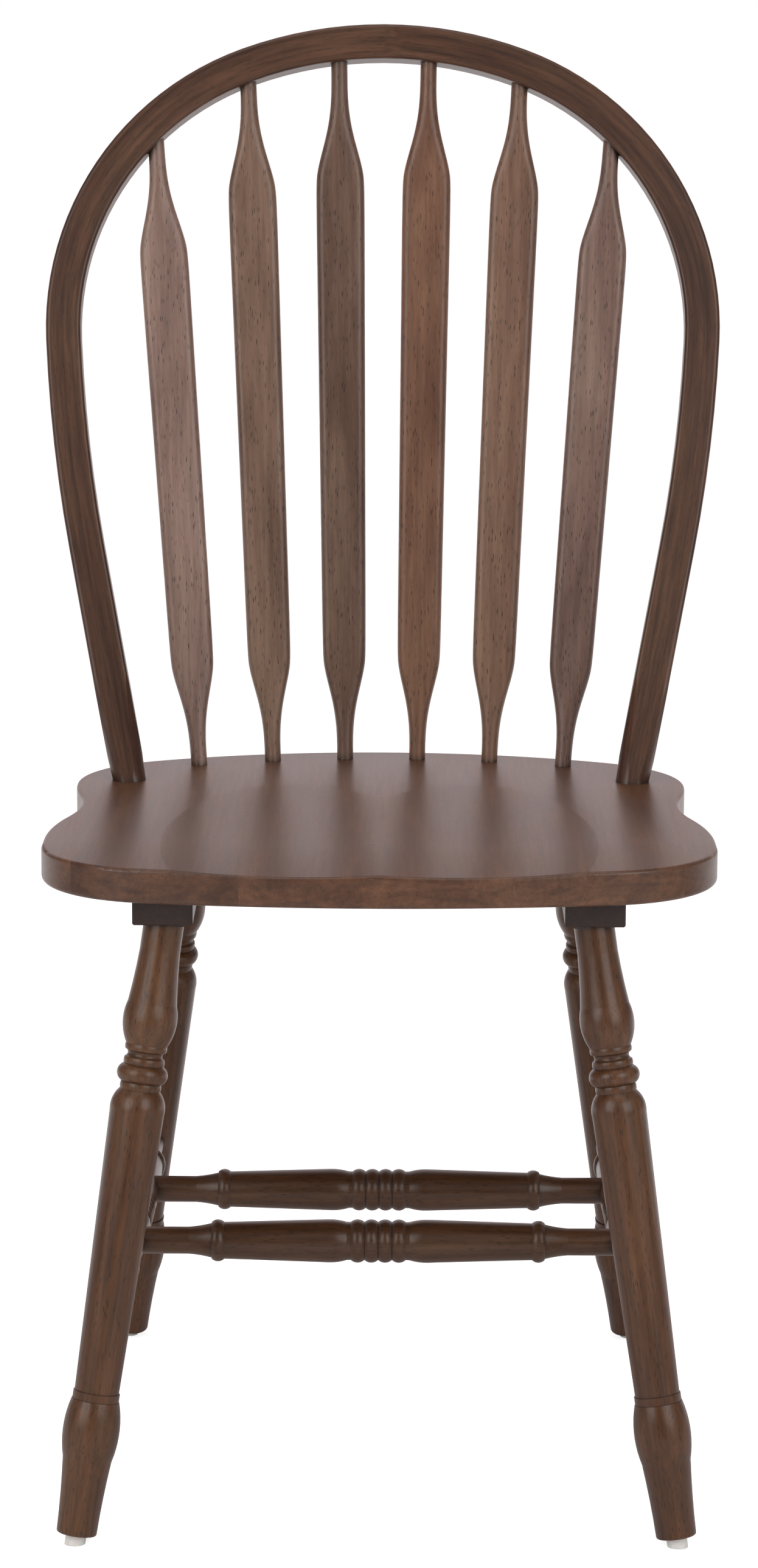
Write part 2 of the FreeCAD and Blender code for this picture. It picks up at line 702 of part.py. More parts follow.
# Bow: one bar, squared along its length and turned to a round tenon at each foot
def build_bow():
    body = doc.addObject("PartDesign::Body", "bow_bar")
    body.Placement = bow_frame
    below = size("bow_tenon_depth")
    overrun = size("cut_overrun")
    spine = new_sketch(body, "hoop_line", "XZ_Plane")
    bottom = hoop["foot"].sub(hoop["heading"] * below)
    points = [hoop["crown_top"], hoop["crown_end"], hoop["side_end"], hoop["leg_end"], bottom]
    middles = [hoop["crown_middle"], hoop["shoulder_middle"], hoop["side_middle"], None]
    ends = draw_chain(spine, points, middles, closed=False)
    for (edge, _, _), name in zip(ends, ("bow_crown_radius", "bow_shoulder_radius",
                                         "bow_side_radius")):
        for index, constraint in enumerate(spine.Constraints):
            if constraint.Type == "Radius" and constraint.First == edge:
                spine.renameConstraint(index, name)
                spine.setExpression(f"Constraints.{name}", f"sizes.{name}")
    section = new_sketch(body, "bow_section", "YZ_Plane")
    half_deep = size("bow_thickness") / 2
    half_wide = size("bow_width") / 2
    soft = size("bow_edge_round")
    inset = soft * (1 - math.sqrt(0.5))
    points = []
    middles = []
    for y_sign, z_sign, first in ((1, 1, "side"), (-1, 1, "top"), (-1, -1, "side"), (1, -1, "top")):
        side_point = V(y_sign * half_deep, z_sign * (half_wide - soft), 0)
        top_point = V(y_sign * (half_deep - soft), z_sign * half_wide, 0)
        corner = V(y_sign * (half_deep - inset), z_sign * (half_wide - inset), 0)
        points += [side_point, top_point] if first == "side" else [top_point, side_point]
        middles += [corner, None]
    rise = V(0, hoop["crown_top"].y, 0)
    draw_chain(section, [point.add(rise) for point in points],
               [middle and middle.add(rise) for middle in middles])
    doc.recompute()
    pipe = body.newObject("PartDesign::AdditivePipe", "half_bow")
    pipe.Profile = section
    pipe.Spine = (spine, [f"Edge{number}" for number in range(1, 5)])
    pipe.Mode = "Frenet"
    body.Tip = pipe
    spine.Visibility = False
    section.Visibility = False
    doc.recompute()
    mirror = body.newObject("PartDesign::Mirrored", "whole_bow")
    mirror.Originals = [pipe]
    mirror.MirrorPlane = (plane(body, "YZ_Plane"), [""])
    body.Tip = mirror
    doc.recompute()
    tools = []
    for side, word in ((-1, "left"), (1, "right")):
        foot, direction = tenon_axis(side)
        start = foot.sub(direction * (below + overrun))
        around = doc.addObject("Part::Cylinder", word + "_tongue_stock")
        around.setExpression("Radius", "sizes.bow_width")
        around.Height = below + overrun + size("tongue_length")
        around.Placement = along(start, direction)
        tenon = rod(word + "_tenon_core", start, direction, "bow_tenon_diameter",
                    below + overrun)
        cone = doc.addObject("Part::Cone", word + "_tongue_core")
        cone.setExpression("Radius1", "sizes.bow_tenon_diameter / 2")
        cone.setExpression("Radius2", "sizes.tongue_top_diameter / 2")
        cone.setExpression("Height", "sizes.tongue_length")
        cone.Placement = along(foot, direction)
        core = doc.addObject("Part::Fuse", word + "_tongue_shape")
        core.Base = tenon
        core.Tool = cone
        shaving = doc.addObject("Part::Cut", word + "_tongue_waste")
        shaving.Base = around
        shaving.Tool = core
        tools.append(shaving)
    for number, (foot, head, _, _) in enumerate(spindles, 1):
        direction = head.sub(foot).normalize()
        deep = size("spindle_bow_depth") + size("glue_gap")
        tools.append(rod(f"spindle_{number}_bow_socket", head.sub(direction * overrun),
                         direction, "spindle_neck", overrun + deep, "sizes.glue_gap"))
    keep(cut("bow", body, tools), "bow")


# Spindles: the section swells from a round neck to a flat paddle with rounded edges
QUARTER_STEPS = 8
FLAT_STEPS = 3
FLARE_STEPS = 9
PADDLE_STEPS = 6
SOFTNESS = 1.5


def ease(share):
    """Rises slowly from zero, then rounds off into one. More softness starts it later."""
    bent = share ** SOFTNESS
    return bent * bent * (3 - 2 * bent)


def paddle_quarter(wide, thick):
    """Points from the middle of the paddle's back to the middle of its edge: three on the flat
    face, then an arc that meets the face at a slight angle."""
    edge = size("paddle_edge_width")
    flat_end = wide / 2 - edge
    radius = (edge ** 2 + (thick / 2) ** 2) / (2 * edge)
    swing = math.asin(thick / 2 / radius)
    points = [V(0, thick / 2, 0), V(flat_end / 2, thick / 2, 0),
              V(flat_end - size("paddle_edge_soft"), thick / 2, 0)]
    arc_steps = QUARTER_STEPS - FLAT_STEPS
    for step in range(arc_steps + 1):
        angle = swing * (1 - step / arc_steps)
        points.append(V(wide / 2 - radius + radius * math.cos(angle),
                        radius * math.sin(angle), 0))
    return points


def neck_quarter():
    """The same number of points on a quarter of the round neck, a little outside it, because
    a curve drawn by its control points runs inside them."""
    turn = 90 / QUARTER_STEPS
    reach = size("spindle_neck") / 2 * 3 / (2 + cosine(turn))
    return [V(reach * sine(turn * step), reach * cosine(turn * step), 0)
            for step in range(QUARTER_STEPS + 1)]


def spindle_section(height, flat, wide):
    """Control points around a closed curve, round where flat is zero and a paddle where it is
    one, from the middle of the back."""
    quarter = [neck.multiply(1 - flat).add(paddle.multiply(flat)) for neck, paddle
               in zip(neck_quarter(), paddle_quarter(wide, size("paddle_thickness")))]
    back = [V(-point.x, point.y, height) for point in quarter]
    front = [V(point.x, -point.y, 0) for point in back]
    left = back[:-1] + [V(point.x, point.y, height) for point in reversed(front[1:])]
    right = [V(-point.x, -point.y, height) for point in left]
    return left + right


def spindle_stations(length, upper_neck):
    """Height, flatness and paddle width of each section, from the seat end up."""
    bottom_width = size("paddle_bottom_width")
    top_width = size("paddle_top_width")
    low = size("lower_neck_length")
    low_end = low + size("lower_flare_length")
    high = length - upper_neck
    high_start = high - size("upper_flare_length")
    buried = size("spindle_seat_depth")
    stations = [(-buried, 0.0, bottom_width), (-buried / 2, 0.0, bottom_width)]
    for step in range(FLARE_STEPS + 1):
        share = step / FLARE_STEPS
        stations.append((low + share * (low_end - low), ease(share), bottom_width))
    for step in range(1, PADDLE_STEPS):
        share = step / PADDLE_STEPS
        wide = bottom_width + (top_width - bottom_width) * share
        stations.append((low_end + share * (high_start - low_end), 1.0, wide))
    for step in range(FLARE_STEPS + 1):
        share = step / FLARE_STEPS
        stations.append((high_start + share * (high - high_start), ease(1 - share), top_width))
    buried = size("spindle_bow_depth")
    stations += [(length + buried / 2, 0.0, top_width), (length + buried, 0.0, top_width)]
    return stations


def spindle_shape(length, upper_neck):
    rows = [spindle_section(*station) for station in spindle_stations(length, upper_neck)]
    around = [1] * (len(rows[0]) + 1)
    upward = [4] + [1] * (len(rows) - 4) + [4]
    skin = Part.BSplineSurface()
    skin.buildFromPolesMultsKnots(list(zip(*rows)), around, upward, list(range(len(around))),
                                  list(range(len(upward))), True, False, 3, 3)
    side = skin.toShape()
    rims = [edge.copy() for edge in side.Edges if edge.isClosed()]
    shell = Part.Shell([side] + [Part.Face(Part.Wire([rim])) for rim in rims])
    shell.sewShape()
    return Part.Solid(shell)


def build_spindles():
    for number, (foot, head, turn, upper_neck) in enumerate(spindles, 1):
        axis = head.sub(foot)
        spindle = doc.addObject("Part::Feature", f"spindle_{number}_part")
        spindle.Shape = spindle_shape(axis.Length, upper_neck)
        # The paddle faces forward: its own X axis stays level, then turns a little inward
        up = V(axis).normalize()
        level = V(0, 1, 0).cross(up).normalize()
        behind = up.cross(level)
        facing = FreeCAD.Rotation(level, behind, up, "ZXY")
        spindle.Placement = FreeCAD.Placement(
            foot, facing.multiply(FreeCAD.Rotation(V(0, 0, 1), -turn)))
        keep(spindle, f"spindle_{number}")


# Legs: one turning pattern, with the plain shaft taking up the length between its two ends
def leg_stations(length):
    vase_foot = length - size("vase_foot_drop")
    vase_ring = vase_foot - size("vase_ring_length")
    neck = vase_ring - size("neck_length")
    upper_ring = neck - size("upper_ring_length")
    bead = upper_ring - size("bead_length")
    lower_ring = bead - size("lower_ring_length")
    shoulder = lower_ring - size("shoulder_length")
    collar_top = size("foot_bulb_rise") + size("collar_height")
    return [
        (0.0, "sole_diameter", size("sole_swell")),
        (size("sole_rise"), "foot_diameter", -size("foot_taper_hollow")),
        (size("foot_taper_rise"), "foot_taper_diameter", size("foot_bulb_swell")),
        (size("foot_bulb_rise"), "foot_bulb_diameter", 0.0),
        (size("foot_bulb_rise"), "collar_diameter", 0.0),
        (collar_top, "collar_diameter", 0.0),
        (collar_top, "shaft_bottom_diameter", 0.0),
        (shoulder, "shoulder_diameter", size("shoulder_swell")),
        (lower_ring, "lower_ring_diameter", size("ring_swell")),
        (bead, "lower_ring_diameter", 0.0),
        (bead, "bead_edge_diameter", size("bead_swell")),
        (upper_ring, "bead_edge_diameter", 0.0),
        (upper_ring, "upper_ring_diameter", size("ring_swell")),
        (neck, "upper_ring_diameter", -size("neck_hollow")),
        (vase_ring, "vase_ring_diameter", size("ring_swell")),
        (vase_foot, "vase_foot_diameter", size("vase_swell")),
        (length - size("vase_waist_drop"), "vase_waist_diameter", -size("vase_hollow")),
        (length - size("vase_start_drop"), "leg_top_diameter", 0.0),
        (length, "leg_top_diameter", 0.0),
    ]


def stretcher_tenon(word, end):
    """Start point and direction of a side stretcher's tenon inside a leg, out of the leg."""
    start, finish = side_lines[word]
    direction = finish.sub(start).normalize()
    if end == "front":
        return start, direction
    return finish, direction.negative()


def build_legs():
    gap = size("glue_gap")
    overrun = size("cut_overrun")
    for name, _, _ in LEGS:
        end, word, _ = name.split("_")
        leg = legs[name]
        body = turned(name + "_turning", leg_stations(leg["length"]))
        body.Placement = along(leg["foot"], leg["up"])
        meeting, out = stretcher_tenon(word, end)
        inner = meeting.sub(out * (size("side_tenon_past_axis") + gap))
        tools = [
            rod(name + "_stretcher_socket", inner, out, "stretcher_end_diameter",
                size("side_tenon_past_axis") + gap + size("shoulder_diameter"),
                "sizes.glue_gap"),
            rod(name + "_bolt_hole", leg["top"].sub(leg["up"] * (size("bolt_in_leg") + gap)),
                leg["up"], "bolt_diameter", size("bolt_in_leg") + overrun, "sizes.glue_gap"),
            rod(name + "_nail_hole", leg["foot"].sub(leg["up"] * overrun), leg["up"],
                "nail_diameter", overrun + size("nail_length") + gap, "sizes.glue_gap"),
        ]
        keep(cut(name, body, tools), name)


# Glides: nylon pads nailed under the feet and worn flat on the floor
def build_glides():
    nails = []
    gap = size("glue_gap")
    cover = size("glide_nail_cover")
    tall = size("foot_height") + size("cut_overrun")
    reach = size("glide_diameter") + size("cut_overrun")
    for name, _, _ in LEGS:
        leg = legs[name]
        label = name.replace("_leg", "_glide")
        bottom = leg["foot"].sub(leg["up"] * tall)
        pad = rod(label + "_pad", bottom, leg["up"], "glide_diameter", tall - gap / 2)
        floor = doc.addObject("Part::Box", label + "_floor")
        floor.Length = 2 * reach
        floor.Width = 2 * reach
        floor.Height = reach
        floor.Placement = FreeCAD.Placement(
            V(leg["foot"].x - reach, leg["foot"].y - reach, -reach), FreeCAD.Rotation())
        shank_hole = rod(label + "_nail_hole", bottom, leg["up"], "nail_diameter",
                         tall + size("cut_overrun"), "sizes.glue_gap")
        head_hole = rod(label + "_head_recess", bottom, leg["up"], "nail_head_diameter",
                        tall - cover, "sizes.glue_gap")
        keep(cut(label, pad, [floor, shank_hole, head_hole]), label)
        head_top = leg["foot"].sub(leg["up"] * (cover + gap))
        shank = rod(label + "_nail_shank", head_top, leg["up"], "nail_diameter",
                    cover + gap + size("nail_length"))
        head = rod(label + "_nail_head",
                   head_top.sub(leg["up"] * size("nail_head_thickness")), leg["up"],
                   "nail_head_diameter", size("nail_head_thickness"))
        nail = doc.addObject("Part::Fuse", label + "_nail")
        nail.Base = shank
        nail.Tool = head
        nails.append(nail)
    group = doc.addObject("Part::Compound", "glide_nail_group")
    group.Links = nails
    keep(group, "glide_nails")


# Leg fixings: a hanger bolt in each leg's top and a threaded insert in the cleat above it
def build_leg_fixings():
    bolts = []
    inserts = []
    overrun = size("cut_overrun")
    for name, _, _ in LEGS:
        leg = legs[name]
        start = leg["top"].sub(leg["up"] * size("bolt_in_leg"))
        into_cleat = leg["meeting"].sub(leg["top"]).Length + size("bolt_in_cleat")
        bolts.append(rod(name + "_bolt", start, leg["up"], "bolt_diameter",
                         size("bolt_in_leg") + into_cleat))
        low = leg["meeting"].add(leg["up"] * size("insert_setback"))
        sleeve = rod(name + "_insert_sleeve", low, leg["up"], "insert_diameter",
                     size("insert_length"))
        bore = rod(name + "_insert_bore", low.sub(leg["up"] * overrun), leg["up"],
                   "bolt_diameter", size("insert_length") + 2 * overrun, "sizes.glue_gap")
        insert = doc.addObject("Part::Cut", name + "_insert")
        insert.Base = sleeve
        insert.Tool = bore
        inserts.append(insert)
    bolt_group = doc.addObject("Part::Compound", "leg_bolt_group")
    bolt_group.Links = bolts
    keep(bolt_group, "leg_bolts")
    insert_group = doc.addObject("Part::Compound", "leg_insert_group")
    insert_group.Links = inserts
    keep(insert_group, "leg_inserts")


def build_cleat_screws():
    screws = []
    for name, point in cleat_screws():
        low = point.add(V(0, 0, size("screw_recess")))
        head = rod(name + "_head", low, V(0, 0, 1), "screw_head_diameter",
                   size("screw_head_depth"))
        shank = rod(name + "_shank", low, V(0, 0, 1), "screw_diameter",
                    size("cleat_thickness") - size("screw_recess") + size("screw_in_seat"))
        screw = doc.addObject("Part::Fuse", name)
        screw.Base = shank
        screw.Tool = head
        screws.append(screw)
    group = doc.addObject("Part::Compound", "cleat_screw_group")
    group.Links = screws
    keep(group, "cleat_screws")


# Stretchers: four beads in the middle, a swelling body to each side, a ring and a thin end
def stretcher_stations(half_length, ring_half_span):
    bead = size("stretcher_bead_length")
    cove = 2 * bead + size("stretcher_cove_length")
    ring_in = ring_half_span - size("stretcher_ring_length") / 2
    ring_out = ring_half_span + size("stretcher_ring_length") / 2
    beads = size("stretcher_bead_swell")
    outward = [
        (0.0, "stretcher_groove_diameter", beads),
        (bead, "stretcher_groove_diameter", beads),
        (2 * bead, "stretcher_groove_diameter", 0.0),
        (cove, "stretcher_cove_diameter", size("stretcher_swell")),
        (size("stretcher_swell_reach"), "stretcher_swell_diameter", 0.0),
        (ring_in, "stretcher_ring_diameter", size("stretcher_ring_swell")),
        (ring_out, "stretcher_ring_diameter", 0.0),
        (ring_out, "stretcher_flare_diameter", -size("stretcher_flare_hollow")),
        (ring_out + size("stretcher_flare_length"), "stretcher_end_diameter", 0.0),
        (half_length, "stretcher_end_diameter", 0.0),
    ]
    inward = []
    for index in range(len(outward) - 1, 0, -1):
        distance, diameter, _ = outward[index]
        inward.append((-distance, diameter, outward[index - 1][2]))
    return inward + outward


def cross_line(offset):
    """Points on both side stretchers where a cross stretcher meets them, each with the
    direction toward the other side."""
    left = on_side("left", offset * size("cross_spacing"))
    right = on_side("right", offset * size("cross_spacing"))
    across = right.sub(left).normalize()
    return {"left": (left, across), "right": (right, across.negative())}


def build_side_stretchers():
    for word in ("left", "right"):
        start, finish = side_lines[word]
        direction = finish.sub(start).normalize()
        middle = start.add(finish).multiply(0.5)
        half = finish.sub(start).Length / 2 + size("side_tenon_past_axis")
        name = f"{word}_side_stretcher"
        body = turned(name + "_turning", stretcher_stations(half, size("side_ring_half_span")))
        body.Placement = along(middle, direction)
        tools = []
        for end, offset in (("front", -1), ("rear", 1)):
            centre, toward = cross_line(offset)[word]
            near = centre.add(toward * (size("cross_tenon_short_of_axis") - size("glue_gap")))
            tools.append(rod(f"{end}_{name}_socket", near, toward, "stretcher_end_diameter",
                             size("stretcher_swell_diameter"), "sizes.glue_gap"))
        keep(cut(name, body, tools), name)


def build_cross_stretchers():
    for end, offset in (("front", -1), ("rear", 1)):
        line = cross_line(offset)
        left, across = line["left"]
        right, _ = line["right"]
        half = right.sub(left).Length / 2 - size("cross_tenon_short_of_axis")
        name = f"{end}_cross_stretcher"
        body = turned(name + "_turning", stretcher_stations(half, size("cross_ring_half_span")))
        body.Placement = along(left.add(right).multiply(0.5), across)
        keep(body, name)


build_seat()
build_bow()
build_spindles()
build_cleats()
build_legs()
build_side_stretchers()
build_cross_stretchers()
build_glides()
build_leg_fixings()
build_cleat_screws()
doc.recompute()

# Every object is sound before its piece is written
for item in doc.Objects:
    if "Invalid" in item.State or "Error" in item.State:
        raise RuntimeError(f"{item.Name} did not recompute: {item.State}")
for node in nodes:
    shape = node.Shape
    if shape.isNull() or not shape.isValid() or not shape.Solids:
        raise RuntimeError(f"{node.Label} is not a sound solid")
    shape.exportStep(f"parts/{node.Label}.step")
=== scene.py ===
import math

import bpy
from mathutils import Matrix, Vector
from mathutils.kdtree import KDTree

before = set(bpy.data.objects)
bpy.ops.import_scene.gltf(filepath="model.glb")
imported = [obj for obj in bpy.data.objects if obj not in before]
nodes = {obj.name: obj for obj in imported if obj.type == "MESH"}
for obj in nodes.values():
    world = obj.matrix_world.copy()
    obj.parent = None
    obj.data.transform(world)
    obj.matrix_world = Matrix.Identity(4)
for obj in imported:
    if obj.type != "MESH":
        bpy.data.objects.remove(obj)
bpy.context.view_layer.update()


# Seat. A plank of rubberwood staves glued edge to edge, sawn to outline, scooped in two shallow
# hollows and sanded. Dark brown stain and satin lacquer cover it, and the front edge shows the
# sawn ends of the staves.
def linear(code):
    """An sRGB hex colour as linear red, green, blue and alpha."""
    parts = [int(code[place:place + 2], 16) / 255 for place in (1, 3, 5)]
    return [part / 12.92 if part <= 0.04045 else ((part + 0.055) / 1.055) ** 2.4
            for part in parts] + [1.0]


def add(tree, kind, inputs, **settings):
    """A new node with its settings, and a value or a link for each named input."""
    made = tree.nodes.new(kind)
    for name, value in settings.items():
        setattr(made, name, value)
    for name, value in inputs.items():
        if isinstance(value, bpy.types.NodeSocket):
            tree.links.new(value, made.inputs[name])
        else:
            made.inputs[name].default_value = value
    return made


def along(direction, shift):
    """Fibre coordinates in millimetres for a straight piece: Z runs along its grain."""
    turn = Vector(direction).rotation_difference(Vector((0, 0, 1))).to_euler()

    def coordinates(tree):
        here = add(tree, "ShaderNodeTexCoord", {})
        return add(tree, "ShaderNodeMapping",
                   {"Vector": here.outputs["Object"], "Location": shift, "Rotation": turn,
                    "Scale": (1000, 1000, 1000)}).outputs[0]
    return coordinates


def blend(tree, share, first, second):
    """The colour between two colours: none of the share gives the first, all of it the second."""
    return add(tree, "ShaderNodeMix", {0: share, 6: first, 7: second},
               data_type="RGBA").outputs[2]


def cells(tree, place, wide, deep, long):
    """Coordinates that count cells of this width, depth and length in millimetres."""
    return add(tree, "ShaderNodeVectorMath", {0: place, 1: (1 / wide, 1 / deep, 1 / long)},
               operation="MULTIPLY").outputs[0]


def blank_material(name):
    """A material with an empty node tree, and that tree."""
    material = bpy.data.materials.new(name)
    material.use_nodes = True
    material.node_tree.nodes.clear()
    return material, material.node_tree


PORE_BROWN = "#1c130e"
# The colour of the painted shade in corners and turned grooves
GROOVE_SHADE_BROWN = "#1a110c"


def stained_rubberwood(name, coordinates, stain, boards=None, softened=None, streakiness=1.0,
                       pore_strength=1.0, roughness=0.38, coat=0.15):
    """Rubberwood, stained and lacquered. The eye sees a soft brown mottle, fine streaks, short
    dark pores along the grain, painted shade in the grooves and corners, and a satin sheen."""
    material, tree = blank_material(name)
    fibre = coordinates(tree)
    tone = None
    if boards:
        fibre, tone = boards(tree, fibre)

    # Clouds about 40 mm wide and 260 mm long, and streaks about 2 mm wide
    cloud = add(tree, "ShaderNodeTexNoise", {"Vector": cells(tree, fibre, 40, 40, 260),
                                             "Scale": 1.0, "Detail": 5.0, "Roughness": 0.62,
                                             "Distortion": 0.6})
    streak = add(tree, "ShaderNodeTexNoise", {"Vector": cells(tree, fibre, 3.6, 3.6, 80),
                                              "Scale": 1.0, "Detail": 5.0, "Roughness": 0.7})
    # Fibres are 0.05 mm wide in life and are drawn 0.6 mm wide so that they show
    fine = add(tree, "ShaderNodeTexNoise", {"Vector": cells(tree, fibre, 0.6, 0.6, 12),
                                            "Scale": 1.0, "Detail": 2.0, "Roughness": 0.7})
    # Pores are strokes about 0.4 mm wide and 3 mm long, some left out
    pore_cells = add(tree, "ShaderNodeTexVoronoi", {"Vector": cells(tree, fibre, 1.2, 1.2, 8),
                                                    "Scale": 1.0})
    pore_depth = add(tree, "ShaderNodeMapRange",
                     {"Value": pore_cells.outputs["Distance"], "From Min": 0.16,
                      "From Max": 0.34, "To Min": 1.0, "To Max": 0.0})
    pore_kept = add(tree, "ShaderNodeSeparateColor", {0: pore_cells.outputs["Color"]})
    pore_share = add(tree, "ShaderNodeMapRange",
                     {"Value": pore_kept.outputs[0], "From Min": 0.3, "From Max": 0.85,
                      "To Min": 0.0, "To Max": 0.85 * pore_strength})
    pores = add(tree, "ShaderNodeMath", {0: pore_depth.outputs[0], 1: pore_share.outputs[0]},
                operation="MULTIPLY")

    # The clouds run from a darker and redder stain to a paler and yellower one
    brown = add(tree, "ShaderNodeValToRGB", {0: cloud.outputs["Fac"]})
    red, green, blue, _ = linear(stain)
    ramp = brown.color_ramp
    ramp.elements[0].position = 0.34
    ramp.elements[0].color = (red * 0.7, green * 0.66, blue * 0.64, 1.0)
    ramp.elements[1].position = 0.66
    ramp.elements[1].color = (red * 1.26, green * 1.36, blue * 1.34, 1.0)
    between = ramp.elements.new(0.5)
    between.color = (red, green, blue, 1.0)
    streaked = add(tree, "ShaderNodeMapRange", {"Value": streak.outputs["Fac"],
                                                "From Min": 0.3, "From Max": 0.7,
                                                "To Min": 1 - 0.26 * streakiness,
                                                "To Max": 1 + 0.24 * streakiness})
    fibred = add(tree, "ShaderNodeMapRange", {"Value": fine.outputs["Fac"], "From Min": 0.3,
                                              "From Max": 0.7, "To Min": 0.9,
                                              "To Max": 1.1})
    strength = add(tree, "ShaderNodeMath", {0: streaked.outputs[0], 1: fibred.outputs[0]},
                   operation="MULTIPLY")
    if tone:
        strength = add(tree, "ShaderNodeMath", {0: strength.outputs[0], 1: tone},
                       operation="MULTIPLY")
    figured = add(tree, "ShaderNodeVectorMath", {0: brown.outputs[0], 3: strength.outputs[0]},
                  operation="SCALE")
    pored = blend(tree, pores.outputs[0], figured.outputs[0], linear(PORE_BROWN))
    # Painted shade: corners and turned grooves are darkened by their ambient occlusion, within
    # about 6 mm of their bottom
    corner_occlusion = add(tree, "ShaderNodeAmbientOcclusion", {"Distance": 0.006}, samples=6)
    groove_shade = add(tree, "ShaderNodeMapRange", {"Value": corner_occlusion.outputs["AO"], "From Min": 0.4,
                                              "From Max": 0.95, "To Min": 0.85,
                                              "To Max": 0.0})
    coloured = blend(tree, groove_shade.outputs[0], pored, linear(GROOVE_SHADE_BROWN))

    relief = add(tree, "ShaderNodeMath", {0: fine.outputs["Fac"], 1: pores.outputs[0]},
                 operation="SUBTRACT")
    bump_inputs = {"Height": relief.outputs[0], "Strength": 0.3, "Distance": 0.00012}
    if softened:
        bump_inputs["Normal"] = softened(tree)
    bump = add(tree, "ShaderNodeBump", bump_inputs)
    worn = add(tree, "ShaderNodeMapRange", {"Value": cloud.outputs["Fac"], "From Min": 0.3,
                                            "From Max": 0.7, "To Min": roughness - 0.04,
                                            "To Max": roughness + 0.04})
    surface = add(tree, "ShaderNodeBsdfPrincipled",
                  {"Base Color": coloured, "Roughness": worn.outputs[0], "IOR": 1.45,
                   "Specular IOR Level": 0.45, "Normal": bump.outputs[0],
                   "Coat Weight": coat, "Coat Roughness": 0.24, "Coat IOR": 1.5})
    add(tree, "ShaderNodeOutputMaterial", {"Surface": surface.outputs[0]})
    return material


def dress(node_name, material):
    """Gives a CAD node its material."""
    slots = nodes[node_name].data.materials
    slots.clear()
    slots.append(material)


# Sizes in millimetres. The joints' places across the seat, how far the grain moves on from one
# stave to the next, and the growth rings, which are stretched sideways by their flatness.
STAVE_JOINTS = (-200, -90, 86, 198)
STAVE_SHIFT = (37.0, 23.0, 611.0)
RING_SPACING = 7
RING_WANDER = 46.0
RING_FLATNESS = 0.55
HEART_HEIGHT = 430.0


def staves(tree, fibre):
    """Moves the grain on from stave to stave, adds growth rings about a heart in the seat's
    middle, and gives each stave its own depth of stain."""
    across = add(tree, "ShaderNodeSeparateXYZ", {0: fibre})
    number = None
    for joint in STAVE_JOINTS:
        past = add(tree, "ShaderNodeMath", {0: across.outputs[0], 1: joint},
                   operation="GREATER_THAN").outputs[0]
        number = past if number is None else add(tree, "ShaderNodeMath", {0: number, 1: past},
                                                 operation="ADD").outputs[0]
    jump = add(tree, "ShaderNodeCombineXYZ", {0: number, 1: number, 2: number})
    moved = add(tree, "ShaderNodeVectorMath", {0: jump.outputs[0], 1: STAVE_SHIFT,
                                               2: fibre}, operation="MULTIPLY_ADD").outputs[0]
    chance = add(tree, "ShaderNodeTexWhiteNoise", {"W": number}, noise_dimensions="1D")
    stain = add(tree, "ShaderNodeMapRange", {"Value": chance.outputs["Value"],
                                             "To Min": 0.93, "To Max": 1.07})
    swirl = add(tree, "ShaderNodeTexNoise", {"Vector": cells(tree, moved, 28, 28, 400),
                                             "Scale": 1.0, "Detail": 3.0})
    heart = add(tree, "ShaderNodeVectorMath", {0: fibre, 1: (RING_FLATNESS, 1.0, 0.0)},
                operation="MULTIPLY")
    away = add(tree, "ShaderNodeVectorMath", {0: heart.outputs[0], 1: (0.0, HEART_HEIGHT, 0.0)},
               operation="DISTANCE")
    wander = add(tree, "ShaderNodeMath", {0: swirl.outputs["Fac"], 1: RING_WANDER,
                                          2: away.outputs["Value"]}, operation="MULTIPLY_ADD")
    phase = add(tree, "ShaderNodeMath", {0: wander.outputs[0], 1: 2 * math.pi / RING_SPACING},
                operation="MULTIPLY")
    ring = add(tree, "ShaderNodeMath", {0: phase.outputs[0]}, operation="SINE")
    ringed = add(tree, "ShaderNodeMapRange", {"Value": ring.outputs[0], "From Min": -1.0,
                                              "To Min": 0.96, "To Max": 1.04})
    # Sawn ends soak up stain in blotches and show the rings more
    facing = add(tree, "ShaderNodeNewGeometry", {})
    toward = add(tree, "ShaderNodeSeparateXYZ", {0: facing.outputs["True Normal"]})
    endwise = add(tree, "ShaderNodeMath", {0: toward.outputs[1]}, operation="ABSOLUTE")
    sawn = add(tree, "ShaderNodeMapRange", {"Value": endwise.outputs[0], "From Min": 0.5,
                                            "From Max": 0.8})
    blotch = add(tree, "ShaderNodeTexNoise", {"Vector": cells(tree, moved, 55, 18, 60),
                                              "Scale": 1.0, "Detail": 3.0, "Distortion": 2.2})
    blotched = add(tree, "ShaderNodeMapRange", {"Value": blotch.outputs["Fac"],
                                                "From Min": 0.35, "From Max": 0.65,
                                                "To Min": 0.76, "To Max": 1.26})
    end_tone = add(tree, "ShaderNodeMix", {0: sawn.outputs[0], 2: 1.0,
                                           3: blotched.outputs[0]})
    tone = add(tree, "ShaderNodeMath", {0: stain.outputs[0], 1: ringed.outputs[0]},
               operation="MULTIPLY")
    tone = add(tree, "ShaderNodeMath", {0: tone.outputs[0], 1: end_tone.outputs[0]},
               operation="MULTIPLY")
    return moved, tone.outputs[0]


def front_to_back(tree):
    """Fibre coordinates in millimetres for the seat, whose grain runs from front to back."""
    here = add(tree, "ShaderNodeTexCoord", {})
    place = add(tree, "ShaderNodeSeparateXYZ", {0: here.outputs["Object"]})
    swapped = add(tree, "ShaderNodeCombineXYZ", {0: place.outputs[0], 1: place.outputs[2],
                                                 2: place.outputs[1]})
    return add(tree, "ShaderNodeVectorMath", {0: swapped.outputs[0], 3: 1000.0},
               operation="SCALE").outputs[0]


